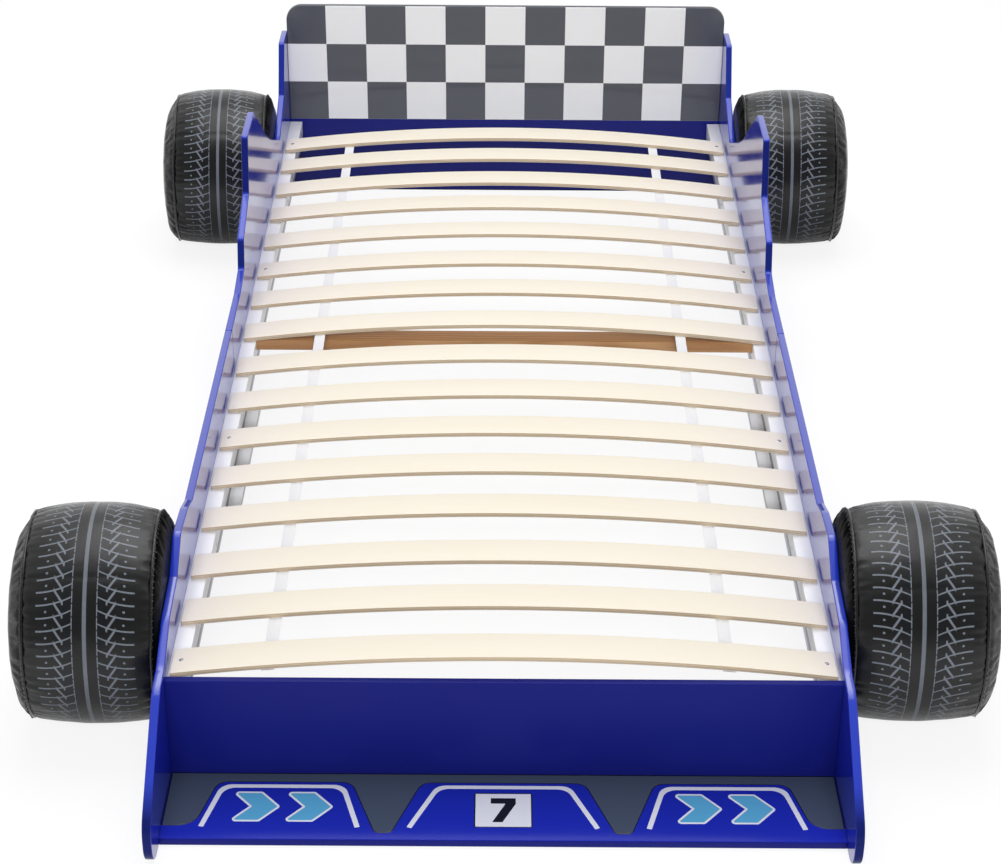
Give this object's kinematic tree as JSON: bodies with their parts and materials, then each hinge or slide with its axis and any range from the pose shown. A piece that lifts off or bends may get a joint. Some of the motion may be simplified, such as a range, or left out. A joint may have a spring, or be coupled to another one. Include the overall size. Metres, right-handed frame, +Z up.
{
  "type": "car bed for children",
  "caption": "Racing-car child's bed: lacquered board sides with fins, bowed slat deck on rails, headboard, bulkhead and stuffed tyre cushions.",
  "frame": {"origin": "on the floor under the middle of the bed", "axes": "+X to the right seen from the foot end, +Y from the foot end towards the headboard, +Z up"},
  "size_m": [1.39, 2.222, 0.438],
  "materials": {
    "blue_lacquer": "high gloss blue lacquer on fibreboard",
    "headboard_print": "blue lacquered fibreboard with a printed chequered flag",
    "nose_print": "blue lacquered fibreboard with a printed car front",
    "white_melamine": "satin white melamine",
    "grey_board": "satin pale grey board",
    "white_webbing": "woven ribbon",
    "birch": "sanded birch veneer laminate",
    "brown_wood": "planed natural wood",
    "dowel_wood": "fluted beech dowel",
    "zinc_casting": "bare zinc casting",
    "zinc_steel": "zinc plated",
    "black_leatherette": "soft satin artificial leather with a printed tread",
    "foam": "open cell foam",
    "plywood": "raw birch plywood"
  },
  "bodies": {
    "root": {"bulkhead_screws": "zinc_steel", "cam_bolts": "zinc_steel", "cam_locks": "zinc_casting", "cross_beam": "brown_wood", "front_bulkhead": "blue_lacquer", "headboard": "headboard_print", "nose_board": "nose_print", "rail_batten_left": "grey_board", "rail_batten_right": "grey_board", "rail_screws_left": "zinc_steel", "rail_screws_right": "zinc_steel", "side_panel_front_left": "blue_lacquer", "side_panel_front_right": "blue_lacquer", "side_panel_rear_left": "blue_lacquer", "side_panel_rear_right": "blue_lacquer", "slat_01": "birch", "slat_02": "birch", "slat_03": "birch", "slat_04": "birch", "slat_05": "birch", "slat_06": "birch", "slat_07": "birch", "slat_08": "birch", "slat_09": "birch", "slat_10": "birch", "slat_11": "birch", "slat_12": "birch", "slat_13": "birch", "slat_14": "birch", "slat_15": "birch", "slat_16": "birch", "slat_rail_left": "white_melamine", "slat_rail_right": "white_melamine", "slat_screws": "zinc_steel", "slat_strap_left": "white_webbing", "slat_strap_right": "white_webbing", "splice_plate_left": "grey_board", "splice_plate_right": "grey_board", "splice_screws_left": "zinc_steel", "splice_screws_right": "zinc_steel", "wheel_bolts": "zinc_steel", "wheel_cover_front_left": "black_leatherette", "wheel_cover_front_right": "black_leatherette", "wheel_cover_rear_left": "black_leatherette", "wheel_cover_rear_right": "black_leatherette", "wheel_disc_front_left": "plywood", "wheel_disc_front_right": "plywood", "wheel_disc_rear_left": "plywood", "wheel_disc_rear_right": "plywood", "wheel_foam_front_left": "foam", "wheel_foam_front_right": "foam", "wheel_foam_rear_left": "foam", "wheel_foam_rear_right": "foam", "wheel_tee_nuts": "zinc_steel", "wood_dowels": "dowel_wood"}
  },
  "joints": []
}
